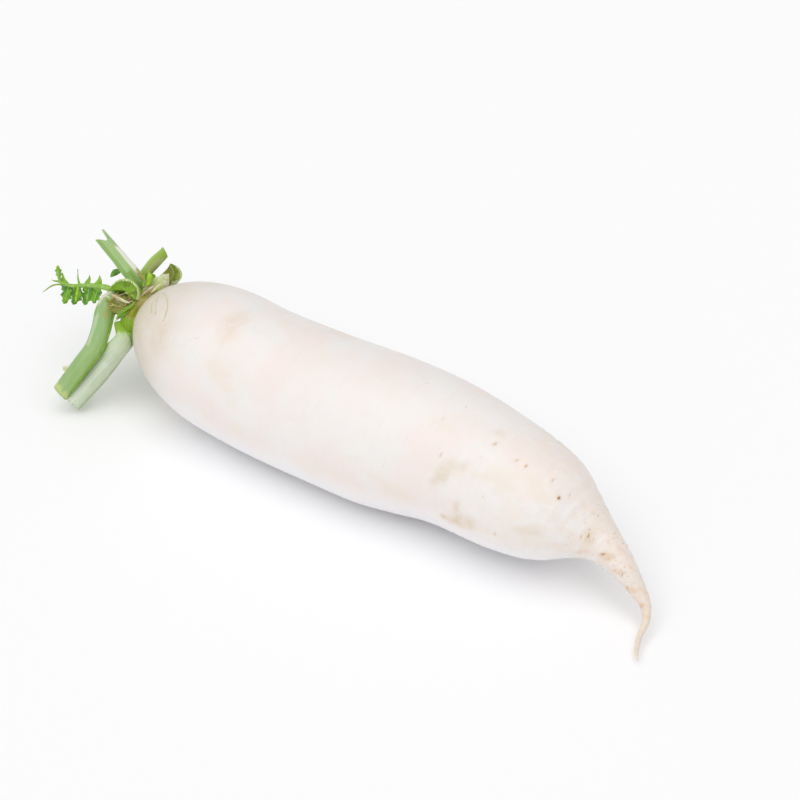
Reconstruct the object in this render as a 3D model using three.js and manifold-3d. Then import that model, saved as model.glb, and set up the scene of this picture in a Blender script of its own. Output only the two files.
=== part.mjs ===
// A daikon radish as it is sold, lying on its side with its leaves cut back to short stalks.
// Millimetres, +Z up. +X runs from the leaf crown to the tail. The origin is the middle of the
// small flat on the belly that the root rests on.
import * as THREE from "three";
import { mergeVertices } from "three/addons/utils/BufferGeometryUtils.js";
import Module from "manifold-3d";

const wasm = await Module();
wasm.setup();

const TURN = Math.PI * 2;
const DEGREE = TURN / 360;
const GAP = 0.3; // clearance between neighbouring pieces
const SLIVER = 0.08; // details finer than this are left out of a cut edge

// Where the middle of that flat falls among the points below. Every piece is moved by this much.
const REST = [-12, 1.9, 0];

// The root's centreline, from the middle of the shoulder to the tip of the tail.
const ROOT_LINE = [
  [-139, 0, 41],
  [-110, 0, 39.5],
  [-60, 0, 35.6],
  [0, 2.8, 35.4],
  [45, 6.6, 36.3],
  [80, 4.6, 35.4],
  [106, 4.5, 33],
  [124, 4.5, 30],
  [134.4, 3.3, 27.3],
  [143.9, 1.6, 22.8],
  [151.9, -0.3, 17.2],
  [159.7, -3.1, 11.8],
  [163.8, -8.2, 8],
  [165.3, -15.2, 5.5],
  [168.7, -23.5, 3.8],
  [172.7, -28.4, 3.4],
];
// The root's radius at distances along that line.
const ROOT_RADII = [
  [0, 34.8],
  [80, 35.4],
  [146, 36.4],
  [165, 35.4],
  [186, 33.1],
  [208, 31.1],
  [220, 30],
  [231, 28.4],
  [241, 26.2],
  [250, 22.4],
  [259, 16.7],
  [268, 11.4],
  [277, 8.1],
  [287, 6],
  [296, 4.4],
  [305, 2.9],
  [313, 2],
  [322, 1.6],
  [330, 1.2],
  [338, 0.7],
];
const SHOULDER_LENGTH = 61; // how far the shoulder takes to round out to the body
const SHOULDER_POWER = 2.05; // 2 is an ellipse, and more is blunter
const ROOT_SIDES = 40;
const OVALNESS = 0.01; // how far the body is from round, as a share of its radius

// The crown: a short stem that tapers from the shoulder to the heart leaves.
const CROWN_PROFILE = [
  [-6, 12],
  [0, 14.5],
  [2.5, 14],
  [5, 12],
  [8, 8],
  [10.5, 3],
];
const CROWN_SIDES = 24;
const CROWN_AXIS = new THREE.Vector3(-1, 0, 0.12).normalize();
const CROWN_FOOT = new THREE.Vector3(...ROOT_LINE[0]);

// Leaves stand on the crown at turns of the golden angle, from the oldest and lowest up to the heart.
const GOLDEN_ANGLE = 137.5;
const FIRST_ANGLE = 256; // 0 is up, 90 is the far side (+Y), 180 is down
const LEAF_COUNT = 14;
const LOWEST_LEAF = 2.5;
const HIGHEST_LEAF = 9;
const SEAT_DEPTH = 4; // how far inside the crown a stalk's line starts

// A stalk's cross-section is a half-moon with a groove along its inner side.
const OUTER_POINTS = 12;
const INNER_POINTS = 7;
const RIM = 0.7; // how far the edges stand above the groove

// One side of a toothed lobe and of a plain tooth, as [share of its length, share of its width].
const LOBE = [[0, 0.12], [0.26, 0.46], [0.38, 0.28], [0.62, 0.5], [0.72, 0.24], [0.9, 0.22]];
const TOOTH = [[0, 0.5], [0.35, 0.33], [0.7, 0.15]];

// The stalks that were cut. Each has its place in the order of growth, then the width, thickness and
// groove of its section, its scale at the foot and at the tip, how many steps its skin takes, how far
// the section is turned at the foot and the tip, and the slant or tear of its cut end. The line says
// where its middle goes once it has left the crown, and lobes are what is left of its leaflets.
const STALKS = {
  stalk_hanging_pale: {
    order: 0, width: 13.2, depth: 6.4, groove: 2.4, scale: [0.86, 0.92], steps: 10,
    twist: [30, 65], slant: 0.2,
    line: [[-136.6, -16.3, 36], [-141, -23.5, 28], [-146.4, -32.8, 17.4], [-152.3, -43, 7]],
  },
  stub_knob: {
    order: 1, width: 8, depth: 6, groove: 0.8, scale: [1.1, 0.95], steps: 3,
    twist: [0, 0], slant: 0.1,
    line: [[-137, 13, 54.5], [-136.2, 14.3, 57.4]],
  },
  stub_below: {
    order: 2, width: 11, depth: 6, groove: 2, scale: [1.05, 0.9], steps: 4,
    twist: [0, 0], slant: 0.25,
    line: [[-144, 4, 24], [-145.5, 6, 16]],
  },
  stalk_hanging_kinked: {
    order: 3, width: 13.4, depth: 6.4, groove: 2.8, scale: [0.8, 0.74], steps: 14,
    twist: [0, 10], slant: 0.2,
    line: [[-149.5, -9.5, 49.3], [-154.2, -9, 48.8], [-154, -13.5, 45.5], [-150.1, -21.4, 40.8],
      [-148.4, -29, 34.4], [-150.4, -36.4, 27.8], [-157, -46, 13.4]],
    lobes: [[LOBE, 0.82, 6.5, 4.4, 0.1, [-1, -0.1, 0.25]]],
  },
  stub_far_crescent: {
    order: 4, width: 11, depth: 6, groove: 1.4, scale: [0.8, 1], steps: 7,
    twist: [70, 70], slant: 0,
    line: [[-142, 18.5, 46.8], [-139, 22.5, 51.4], [-136.7, 22.9, 55.2]],
  },
  stub_under: {
    order: 5, width: 8.5, depth: 5, groove: 2, scale: [1.05, 0.95], steps: 3,
    twist: [0, 0], slant: 0.2,
    line: [[-143.5, -11, 30]],
  },
  stub_crescent: {
    order: 6, width: 16, depth: 7.6, groove: 1.8, scale: [0.75, 1.1], steps: 6,
    twist: [94, 94], slant: 0,
    line: [[-144.4, -2.5, 55.6], [-144.6, -5.9, 59.2]],
  },
  stalk_far_side: {
    order: 7, width: 9.5, depth: 5.4, groove: 2, scale: [1.05, 0.8], steps: 8,
    twist: [0, 0], slant: 0.3,
    line: [[-148, 16, 33], [-153, 27, 26], [-156, 38, 17]],
  },
  stalk_torn: {
    order: 9, width: 9, depth: 5.2, groove: 2, scale: [1.1, 0.8], steps: 9,
    twist: [0, 0], slant: 0, torn: 6,
    line: [[-145, 5, 55.5], [-153.5, 3.9, 65], [-163.5, 2.3, 75]],
  },
  stalk_leaning_back: {
    order: 12, width: 8.2, depth: 4.8, groove: 1.8, scale: [1, 0.85], steps: 7,
    twist: [0, 0], slant: 0.3,
    line: [[-151.5, 10, 46], [-150.5, 16.5, 53.5], [-150, 29, 58]],
  },
};

// The small leaves left in the heart. A rib's thickness runs from its foot to its tip. Each lobe has
// its edge, its place along the rib, its length, width and lean towards the tip, and where it points.
const BLADE = 0.8;
const UPWARDS = [0, 0.35, 1];
const DOWNWARDS = [0.1, -0.45, -1];
const LEAVES = {
  young_leaf: {
    order: 11, rib: [1.8, 0.7], steps: 18,
    line: [[-157, -5, 52.5], [-165, -5.5, 51.2], [-173, -6.5, 48.8], [-181, -8.5, 46.6],
      [-186, -10, 47.5], [-188, -9.5, 53.5]],
    lobes: [
      [TOOTH, 0.41, 5.8, 6, 0.1, UPWARDS],
      [LOBE, 0.4, 9.5, 7.5, 0.2, DOWNWARDS],
      [TOOTH, 0.555, 5.8, 4.4, 0, UPWARDS],
      [LOBE, 0.52, 10.5, 7.8, 0.1, DOWNWARDS],
      [TOOTH, 0.66, 8.5, 1.8, 0.35, UPWARDS],
      [LOBE, 0.65, 10.5, 7.5, 0.2, DOWNWARDS],
      [LOBE, 0.78, 10, 6.5, 0.1, DOWNWARDS],
      [TOOTH, 0.83, 6, 4.5, 0.5, UPWARDS],
      [TOOTH, 0.86, 6, 2.4, 0.5, [-1, -0.2, -0.1]],
      [LOBE, 0.92, 6.5, 3.6, 3, UPWARDS],
    ],
  },
  heart_leaf_lime: {
    order: 13, rib: [2, 1], steps: 6,
    line: [[-145, 6, 48], [-143.5, 9.5, 52], [-143.5, 11, 56]],
    lobes: [
      [LOBE, 0.62, 4.5, 4.5, 0.5, [0.8, 0.6, 0.3]],
      [LOBE, 0.7, 4.5, 4.5, 0.5, [-0.8, -0.6, 0.3]],
      [LOBE, 0.9, 4.5, 5, 2, [0.8, 0.6, 0.3]],
      [LOBE, 0.95, 4, 4.5, 1.5, [-0.8, -0.6, 0.3]],
    ],
  },
};

// A smooth curve through [at, value] pairs that doesn't overshoot them.
function curveThrough(pairs) {
  const rise = pairs.slice(1).map(([x, y], i) => (y - pairs[i][1]) / (x - pairs[i][0]));
  const slope = pairs.map((_, i) => {
    const before = rise[Math.max(i - 1, 0)];
    const after = rise[Math.min(i, rise.length - 1)];
    return before * after <= 0 ? 0 : (2 * before * after) / (before + after);
  });
  return (x) => {
    const last = pairs.length - 2;
    const found = pairs.findIndex(([at], i) => i <= last && x < pairs[i + 1][0] && x >= at);
    const i = found >= 0 ? found : x < pairs[0][0] ? 0 : last;
    const span = pairs[i + 1][0] - pairs[i][0];
    const t = THREE.MathUtils.clamp((x - pairs[i][0]) / span, 0, 1);
    const ease = t * t * (3 - 2 * t);
    const bend = span * t * (1 - t) * ((1 - t) * slope[i] - t * slope[i + 1]);
    return pairs[i][1] * (1 - ease) + pairs[i + 1][1] * ease + bend;
  };
}

function lineThrough(points) {
  return new THREE.CatmullRomCurve3(points.map((p) => new THREE.Vector3(...p)), false, "centripetal");
}

function circle(sides) {
  const angles = Array.from({ length: sides }, (_, i) => (i / sides) * TURN);
  return angles.map((angle) => [Math.cos(angle), Math.sin(angle)]);
}

// One closed skin over rings of points, which all hold the same count, with both ends capped.
function skin(rings, outline) {
  const count = rings[0].length;
  const caps = THREE.ShapeUtils.triangulateShape(outline.map(([u, v]) => new THREE.Vector2(u, v)), []);
  const index = [];
  for (let i = 0; i + 1 < rings.length; i++) {
    for (let j = 0; j < count; j++) {
      const [a, b] = [i * count + j, i * count + ((j + 1) % count)];
      index.push(a, b, b + count, a, b + count, a + count);
    }
  }
  const end = (rings.length - 1) * count;
  for (const [a, b, c] of caps) index.push(c, b, a, end + a, end + b, end + c);
  const geometry = new THREE.BufferGeometry();
  const positions = rings.flat().flatMap((p) => [p.x, p.y, p.z]);
  geometry.setAttribute("position", new THREE.Float32BufferAttribute(positions, 3));
  geometry.setIndex(index);
  return geometry;
}

function solidOf(geometry) {
  const bare = geometry.clone();
  bare.deleteAttribute("normal");
  bare.deleteAttribute("uv");
  const merged = mergeVertices(bare, 1e-4);
  const mesh = new wasm.Mesh({
    numProp: 3,
    vertProperties: merged.attributes.position.array,
    triVerts: new Uint32Array(merged.index.array),
  });
  return new wasm.Manifold(mesh);
}

function geometryOf(solid) {
  const { vertProperties, triVerts, numProp } = solid.getMesh();
  const geometry = new THREE.BufferGeometry();
  const positions = new THREE.InterleavedBuffer(vertProperties, numProp);
  geometry.setAttribute("position", new THREE.InterleavedBufferAttribute(positions, 3, 0));
  geometry.setIndex(new THREE.BufferAttribute(triVerts, 1));
  return geometry.toNonIndexed().translate(-REST[0], -REST[1], -REST[2]);
}

// Sweeps a section along a line. The section's v axis starts out facing a given direction. sectionAt
// gives its points as [u across, v up, w along the line].
function sweep(line, steps, facing, outline, sectionAt) {
  let normal = facing.clone();
  const rings = [];
  for (let i = 0; i <= steps; i++) {
    const at = i / steps;
    const centre = line.getPointAt(at);
    const tangent = line.getTangentAt(at);
    normal = normal.clone().addScaledVector(tangent, -normal.dot(tangent)).normalize();
    const across = new THREE.Vector3().crossVectors(normal, tangent);
    const place = ([u, v, w]) =>
      centre.clone().addScaledVector(across, u).addScaledVector(normal, v).addScaledVector(tangent, w);
    rings.push(sectionAt(at).map(place));
  }
  return skin(rings, outline);
}

// The root, as one swept body of slightly uneven rings. Its belly is pressed flat where it rests.
function rootSolid(swell) {
  const line = lineThrough(ROOT_LINE);
  line.arcLengthDivisions = 800;
  const length = line.getLength();
  const bodyRadius = curveThrough(ROOT_RADII);
  const distances = [];
  for (let i = 0; i < 11; i++) {
    distances.push(0.4 + SHOULDER_LENGTH * (1 - Math.cos((i / 11) * 0.25 * TURN)));
  }
  for (let d = SHOULDER_LENGTH; d < 226; d += 8.5) distances.push(d);
  for (let d = 231; d < length - 1; d += 4.2) distances.push(d);
  distances.push(length - 0.5);

  let up = new THREE.Vector3(0, 0, 1);
  const rings = distances.map((d) => {
    const at = d / length;
    const centre = line.getPointAt(at);
    const tangent = line.getTangentAt(at);
    up = up.clone().addScaledVector(tangent, -up.dot(tangent)).normalize();
    const side = new THREE.Vector3().crossVectors(up, tangent);
    const inShoulder = Math.max(0, 1 - d / SHOULDER_LENGTH);
    const shoulder = (1 - inShoulder ** SHOULDER_POWER) ** (1 / SHOULDER_POWER);
    return Array.from({ length: ROOT_SIDES }, (_, j) => {
      const angle = (j / ROOT_SIDES) * TURN;
      const uneven = Math.sin(2 * angle) + 0.6 * Math.cos(3 * angle + d / 70);
      const radius = bodyRadius(d) * shoulder * (1 + OVALNESS * uneven) + swell;
      const point = centre.clone();
      point.addScaledVector(side, Math.cos(angle) * radius);
      point.addScaledVector(up, Math.sin(angle) * radius);
      point.z = Math.max(point.z, -swell);
      return point;
    });
  });
  return solidOf(skin(rings, circle(ROOT_SIDES)));
}

// The crown's radius at a height above the middle of the shoulder.
const crownRadius = curveThrough(CROWN_PROFILE);

function crownSolid(swell) {
  const [low] = CROWN_PROFILE[0];
  const [high, tip] = CROWN_PROFILE[CROWN_PROFILE.length - 1];
  const profile = [new THREE.Vector2(0, low)];
  for (let i = 0; i <= 8; i++) {
    const height = low + ((high - low) * i) / 8;
    profile.push(new THREE.Vector2(crownRadius(height) + swell, height + (i === 8 ? swell : 0)));
  }
  profile.push(new THREE.Vector2(0, high + swell + tip / 6));
  const lathe = new THREE.LatheGeometry(profile, CROWN_SIDES);
  const turn = new THREE.Quaternion().setFromUnitVectors(new THREE.Vector3(0, 1, 0), CROWN_AXIS);
  lathe.applyQuaternion(turn);
  lathe.translate(CROWN_FOOT.x, CROWN_FOOT.y, CROWN_FOOT.z);
  return solidOf(lathe);
}

// Where the leaf of a given order starts inside the crown.
function seat(order) {
  const angle = (FIRST_ANGLE + order * GOLDEN_ANGLE) * DEGREE;
  const height = THREE.MathUtils.lerp(LOWEST_LEAF, HIGHEST_LEAF, order / (LEAF_COUNT - 1));
  const up = new THREE.Vector3(0, 0, 1);
  up.addScaledVector(CROWN_AXIS, -up.dot(CROWN_AXIS)).normalize();
  const radius = Math.max(crownRadius(height) - SEAT_DEPTH, 0);
  const place = CROWN_FOOT.clone().addScaledVector(CROWN_AXIS, height);
  place.addScaledVector(up, Math.cos(angle) * radius);
  place.y += Math.sin(angle) * radius;
  return place.toArray();
}

function stalkOutline(width, depth, groove, swell) {
  const outer = Array.from({ length: OUTER_POINTS + 1 }, (_, i) => {
    const angle = TURN / 2 + (TURN / 2) * (i / OUTER_POINTS);
    return [(width / 2 + swell) * Math.cos(angle), (depth + swell) * Math.sin(angle)];
  });
  const inner = Array.from({ length: INNER_POINTS }, (_, i) => {
    const side = 1 - (2 * (i + 0.5)) / INNER_POINTS;
    return [width * 0.46 * side, RIM + swell - (RIM + groove) * (1 - side * side)];
  });
  return [...outer, ...inner];
}

function stalkSolid(stalk, swell) {
  const { order, width, depth, groove, scale, steps, slant, torn = 0, twist, line, lobes = [] } = stalk;
  const path = lineThrough([seat(order), ...line]);
  const outline = stalkOutline(width, depth, groove, swell);
  const skinned = sweep(path, steps, CROWN_AXIS, outline, (at) => {
    const size = THREE.MathUtils.lerp(scale[0], scale[1], at);
    const turned = THREE.MathUtils.smoothstep(at, 0.15, 0.6);
    const turn = THREE.MathUtils.lerp(twist[0], twist[1], turned) * DEGREE;
    return outline.map(([u, v]) => {
      const tear = torn * Math.max(0, Math.abs(u) / width - 0.2) * (u < 0 ? 2 : 3);
      const cut = slant * (v + depth) + tear + swell;
      const [x, y] = [u * size, (v + depth / 2) * size];
      return [
        x * Math.cos(turn) - y * Math.sin(turn),
        x * Math.sin(turn) + y * Math.cos(turn),
        at === 1 ? cut : 0,
      ];
    });
  });
  return lobes.reduce((whole, lobe) => whole.add(lobeSolid(path, lobe, swell)), solidOf(skinned));
}

// A flat toothed lobe that stands on a leaf's rib, or on a stalk where it is all that is left of one.
function lobeSolid(path, [edge, at, length, width, lean, way], swell) {
  const tangent = path.getTangentAt(at);
  const reach = new THREE.Vector3(...way).addScaledVector(tangent, lean).normalize();
  const face = new THREE.Vector3().crossVectors(tangent, reach).normalize();
  const across = new THREE.Vector3().crossVectors(face, reach);
  const near = edge.map(([p, q]) => new THREE.Vector2(p * length, -q * width - swell));
  const far = edge.map(([p, q]) => new THREE.Vector2(p * length, q * width + swell)).reverse();
  const shape = new THREE.Shape([...near, new THREE.Vector2(length + swell, 0), ...far]);
  const blade = new THREE.ExtrudeGeometry(shape, { depth: BLADE + 2 * swell, bevelEnabled: false });
  blade.translate(0, 0, -BLADE / 2 - swell);
  blade.applyMatrix4(new THREE.Matrix4().makeBasis(reach, across, face));
  const foot = path.getPointAt(at);
  blade.translate(foot.x, foot.y, foot.z);
  return solidOf(blade);
}

function leafSolid({ order, rib: [foot, tip], steps, line, lobes }) {
  const path = lineThrough([seat(order), ...line]);
  const outline = circle(8);
  const rib = solidOf(
    sweep(path, steps, CROWN_AXIS, outline, (at) => {
      const radius = THREE.MathUtils.lerp(foot, tip, at);
      return outline.map(([u, v]) => [u * radius, v * radius, 0]);
    }),
  );
  return lobes.reduce((leaf, lobe) => leaf.add(lobeSolid(path, lobe, 0)), rib);
}

// Cuts a solid, then drops the slivers along its edges and the bits that the cut leaves loose.
function trimmed(solid, by) {
  const bodies = solid.subtract(by).simplify(SLIVER).decompose();
  return bodies.reduce((best, next) => (next.volume() > best.volume() ? next : best));
}

function meshOf(name, solid, colour, roughness) {
  const material = new THREE.MeshStandardMaterial({ color: colour, roughness, metalness: 0 });
  const mesh = new THREE.Mesh(geometryOf(solid), material);
  mesh.name = name;
  return mesh;
}

const daikon = new THREE.Group();
const swollenRoot = rootSolid(GAP);
const swollenCrown = crownSolid(GAP);
daikon.add(meshOf("root", rootSolid(0), "#f3ece4", 0.45));
daikon.add(meshOf("crown", trimmed(crownSolid(0), swollenRoot), "#b5b46a", 0.6));

// Each stalk or leaf is cut to clear whatever stands there already.
let taken = swollenRoot.add(swollenCrown);
for (const [name, shape] of Object.entries(STALKS)) {
  const stalk = trimmed(stalkSolid(shape, 0), taken);
  daikon.add(meshOf(name, stalk, "#a9c97c", 0.5));
  taken = taken.add(stalk).add(stalkSolid(shape, GAP));
}
for (const [name, shape] of Object.entries(LEAVES)) {
  const leaf = trimmed(leafSolid(shape), taken);
  daikon.add(meshOf(name, leaf, "#7fae2e", 0.55));
  taken = taken.add(leaf);
}

export default daikon;
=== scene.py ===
import math
from functools import reduce

import bmesh
import bpy
import numpy as np
from mathutils import Matrix, Vector
from mathutils.bvhtree import BVHTree


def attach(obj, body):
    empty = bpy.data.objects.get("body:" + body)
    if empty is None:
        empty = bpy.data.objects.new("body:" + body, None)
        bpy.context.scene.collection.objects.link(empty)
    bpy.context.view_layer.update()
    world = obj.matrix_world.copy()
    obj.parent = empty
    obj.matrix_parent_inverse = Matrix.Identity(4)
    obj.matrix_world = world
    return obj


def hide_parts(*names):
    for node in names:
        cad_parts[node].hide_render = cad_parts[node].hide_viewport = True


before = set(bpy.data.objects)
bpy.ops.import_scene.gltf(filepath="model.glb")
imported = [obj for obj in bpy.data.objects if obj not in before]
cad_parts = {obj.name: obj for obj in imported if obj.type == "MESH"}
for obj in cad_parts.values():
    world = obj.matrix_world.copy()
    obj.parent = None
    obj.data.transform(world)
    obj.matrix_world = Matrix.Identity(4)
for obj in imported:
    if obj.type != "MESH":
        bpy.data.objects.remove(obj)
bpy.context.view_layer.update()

MM = 0.001
TURN = 2 * math.pi
SEED = 7

# The camera, which stands where the photograph was taken from, and its own axes: right, up, and back from
# what it looks at.
IMAGE_SIZE = 800
FOCAL_PIXELS = 2321
AZIMUTH = math.radians(37)
ELEVATION = math.radians(37)
CAMERA_DISTANCE = 1100
CAMERA_TARGET = np.array([19.3, 16.2, 43.6])
BACK = np.array([
    math.sin(AZIMUTH) * math.cos(ELEVATION), -math.cos(AZIMUTH) * math.cos(ELEVATION), math.sin(ELEVATION),
])
RIGHT = np.array([math.cos(AZIMUTH), math.sin(AZIMUTH), 0])
UP = np.cross(BACK, RIGHT)
EYE = CAMERA_TARGET + BACK * CAMERA_DISTANCE

# What the solids' drawing is moved by, so that its resting flat is at the origin.
REST = np.array([12, -1.9, 0])

# The root's centreline from the shoulder to the tip of the tail, and its radius along that line.
ROOT_LINE = [
    [-139, 0, 41], [-110, 0, 39.5], [-60, 0, 35.6], [0, 2.8, 35.4], [45, 6.6, 36.3], [80, 4.6, 35.4],
    [106, 4.5, 33], [124, 4.5, 30], [134.4, 3.3, 27.3], [143.9, 1.6, 22.8], [151.9, -0.3, 17.2],
    [159.7, -3.1, 11.8], [163.8, -8.2, 8], [165.3, -15.2, 5.5], [168.7, -23.5, 3.8], [172.7, -28.4, 3.4],
]
ROOT_RADII = [
    [0, 34.8], [80, 35.4], [146, 36.4], [165, 35.4], [186, 33.1], [208, 31.1], [220, 30], [231, 28.4],
    [241, 26.2], [250, 22.4], [259, 16.7], [268, 11.4], [277, 8.1], [287, 6], [296, 4.4], [305, 2.9],
    [313, 2], [322, 1.6], [330, 1.2], [338, 0.7],
]
SHOULDER_LENGTH = 61
SHOULDER_POWER = 2.05
SHOULDER_RINGS = 46
OVALNESS = 0.01
ROOT_SIDES = 240
ROOT_STEP = 0.85
TIP_GAP = 0.5
FACES_UP = [0, 0, 1]

# The crown's radius at heights above the middle of the shoulder, and the way it points.
CROWN_PROFILE = [[-6, 12], [0, 14.5], [2.5, 14], [5, 12], [8, 8], [10.5, 3]]
CROWN_AXIS = np.array([-1, 0, 0.12]) / math.hypot(1, 0.12)
CROWN_FOOT = np.array(ROOT_LINE[0])
CROWN_RINGS = 70
CROWN_SIDES = 160
# Patches of colour on the crown, as [middle, radius, tone].
CROWN_PATCHES = [
    [(-124.3, -12.5, 50.6), 4, "#8d9414"], [(-125.8, -17.2, 42.4), 7.5, "#86ad22"],
    [(-124.5, -6, 55), 4, "#b4ad62"], [(-127, 3, 55), 4, "#c9b592"],
]

# Leaves stand on the crown at turns of the golden angle, from the lowest up to the heart.
GOLDEN_ANGLE = 137.5
FIRST_ANGLE = 256
LEAF_COUNT = 14
LOWEST_LEAF = 2.5
HIGHEST_LEAF = 9
SEAT_DEPTH = 4

# A stalk's section is a half-moon with a groove along its inner side, which carries fine ribs outside.
SECTION_POINTS = 56
RIM = 0.7
RIB_COUNT = 13
RIB_HEIGHT = 0.09
RING_STEP = 0.7
CUT_LAYERS = 6

# Colours as they show on a screen. A stalk has its outer skin, the skin towards its foot and towards its
# tip, the inner side, and the rims beside the groove.
GREEN = ["#8fb572", "#b5b878", "#a5bd7c", "#8fb93a", "#74a52c"]
PALE = ["#c6d4b6", "#a9c16a", "#d3dec6", "#a8c384", "#b2c991"]

# One side of a toothed lobe and of a plain tooth, as [share of its length, share of its width].
LOBE = [[0, 0.12], [0.26, 0.46], [0.38, 0.28], [0.62, 0.5], [0.72, 0.24], [0.9, 0.22], [1, 0]]
TOOTH = [[0, 0.5], [0.35, 0.33], [0.7, 0.15], [1, 0]]

# The stalks: place in the order of growth, section, scale at foot and tip, line, turn of the section,
# slant, tear and dip of the cut end, the length over which it rounds off, remains of leaflets, and colours.
# A touch of colour is [from, to] round the section, [from, to] along the stalk, tone and strength. A cord
# is a bright edge: side, from, to and radius. Flesh is the light and dark tone of the cut, which shows a
# band of peel where there is one.
USUAL_STALK = dict(
    twist=[0, 0], slant=0, torn=0, dip=0.35, rounding=0, lobes=[], cords=[], touches=[], colours=GREEN,
    flesh=None, peel=False, slot="green_stalk",
)
STALKS = {
    "stalk_hanging_pale": dict(
        order=0, width=13.2, depth=6.4, groove=2.4, scale=[0.86, 0.92], twist=[30, 65], slant=0.2,
        line=[[-136.6, -16.3, 36], [-141, -23.5, 28], [-146.4, -32.8, 17.4], [-152.3, -43, 7]],
        touches=[
            [0.0, 0.24, 8, 60, "#a3b985", 0.7], [0.45, 0.7, 24, 60, "#dfe6d6", 0.6],
            [-1, 2, -9, 7.4, "#8bb12a", 1],
        ],
        colours=PALE, slot="pale_stalk"),
    "stub_knob": dict(
        order=1, width=8, depth=6, groove=0.8, scale=[1.1, 0.95], slant=0.1, dip=-1.6, rounding=5,
        line=[[-137, 13, 54.5], [-136.2, 14.3, 57.4]],
        touches=[[0.3, 0.7, 6, 11, "#cdb98e", 0.6], [0, 0.3, 3, 12, "#b5c86a", 0.6]],
        colours=["#d3dbae", "#c9cf9c", "#dfe3bf", "#cdd6a6", "#d5dcb4"], slot="pale_stalk"),
    "stub_below": dict(
        order=2, width=11, depth=6, groove=2, scale=[1.05, 0.9], slant=0.25,
        line=[[-144, 4, 24], [-145.5, 6, 16]]),
    "stalk_hanging_kinked": dict(
        order=3, width=13.4, depth=6.4, groove=2.8, scale=[0.8, 0.74], twist=[0, 10], slant=0.2,
        line=[[-149.5, -9.5, 49.3], [-154.2, -9, 48.8], [-154, -13.5, 45.5], [-150.1, -21.4, 40.8],
              [-148.4, -29, 34.4], [-150.4, -36.4, 27.8], [-157, -46, 13.4]],
        lobes=[[LOBE, 0.82, 6.5, 4.4, 0.1, [-1, -0.1, 0.25]]], cords=[[0, 13, 67, 0.6]],
        touches=[
            [-1, 2, -9, 9, "#a9a95a", 0.9], [0.62, 0.8, 3, 9, "#bba67c", 0.6],
            [0.3, 0.6, 4, 12, "#8f9634", 0.7], [0.6, 1, 11, 17, "#e6dacf", 0.9],
            [0.1, 0.4, 12, 24, "#a5ab58", 0.7], [0.03, 0.12, 14, 68, "#8fb25c", 0.7],
            # The touch from 0.5 to 0.68 round, 22 to 40 mm along, is a painted highlight on the flank.
            [0.12, 0.22, 14, 68, "#9dbd6a", 0.6], [0.5, 0.68, 22, 40, "#c9d6b6", 0.6],
            [0.72, 1, 34, 70, "#7ea54e", 0.6], [-1, 2, 64, 80, "#c3d087", 0.8],
        ]),
    "stub_far_crescent": dict(
        order=4, width=11, depth=6, groove=1.4, scale=[0.8, 1], twist=[70, 70], dip=1.5,
        line=[[-142, 18.5, 46.8], [-139, 22.5, 51.4], [-136.7, 22.9, 55.2]],
        touches=[
            [-1, 1.04, 19, 26, "#c3d6a8", 1], [1.04, 2, 5, 30, "#8f6b3c", 0.85],
            [1.04, 1.6, 12, 30, "#8fa02c", 0.7],
        ],
        colours=["#a9c078", "#a58a58", "#a9bf74", "#93a63c", "#c3d6a8"],
        flesh=["#94a72a", "#6b7816"], peel=True),
    "stub_under": dict(
        order=5, width=8.5, depth=5, groove=2, scale=[1.05, 0.95], slant=0.2, line=[[-143.5, -11, 30]]),
    "stub_crescent": dict(
        order=6, width=16, depth=7.6, groove=1.8, scale=[0.75, 1.1], twist=[94, 94], dip=1.7,
        line=[[-144.4, -2.5, 55.6], [-144.6, -5.9, 59.2]],
        touches=[
            # The last touch darkens the groove, painted shade in the hollow of the crescent.
            [-1, 2, 0, 6, "#7d8a1e", 0.7], [-1, 1.02, 9, 20, "#cfe3a0", 1], [1.02, 2, 3, 16, "#5f8a10", 0.9],
        ],
        colours=["#a3c766", "#8fa63a", "#9cc52a", "#8fb322", "#d3e6a4"],
        flesh=["#7ba60c", "#547a06"], peel=True),
    "stalk_far_side": dict(
        order=7, width=9.5, depth=5.4, groove=2, scale=[1.05, 0.8], slant=0.3,
        line=[[-148, 16, 33], [-153, 27, 26], [-156, 38, 17]]),
    "stalk_torn": dict(
        order=9, width=9, depth=5.2, groove=2, scale=[1.1, 0.8], torn=6,
        line=[[-145, 5, 55.5], [-153.5, 3.9, 65], [-163.5, 2.3, 75]],
        touches=[
            # The first touch, near white across the upper side, is a painted highlight.
            [0.44, 1, 12, 32, "#f3f4e8", 0.9], [0.5, 1, 5, 14, "#dfcdba", 0.8],
            [0, 0.22, 16, 40, "#86b04c", 0.7], [0.2, 0.42, 8, 19, "#7fa23e", 0.8],
        ],
        colours=["#a6c582", "#b3bd84", "#a9c78a", "#a9c98e", "#c3d6ac"]),
    "stalk_leaning_back": dict(
        order=12, width=8.2, depth=4.8, groove=1.8, scale=[1, 0.85], slant=0.3,
        line=[[-151.5, 10, 46], [-150.5, 16.5, 53.5], [-150, 29, 58]],
        touches=[[0.2, 0.42, 16, 29, "#bfb68a", 0.6]],
        colours=["#9fb950", "#a9bf4a", "#93b53a", "#8fb52c", "#a9c76a"]),
}

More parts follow.
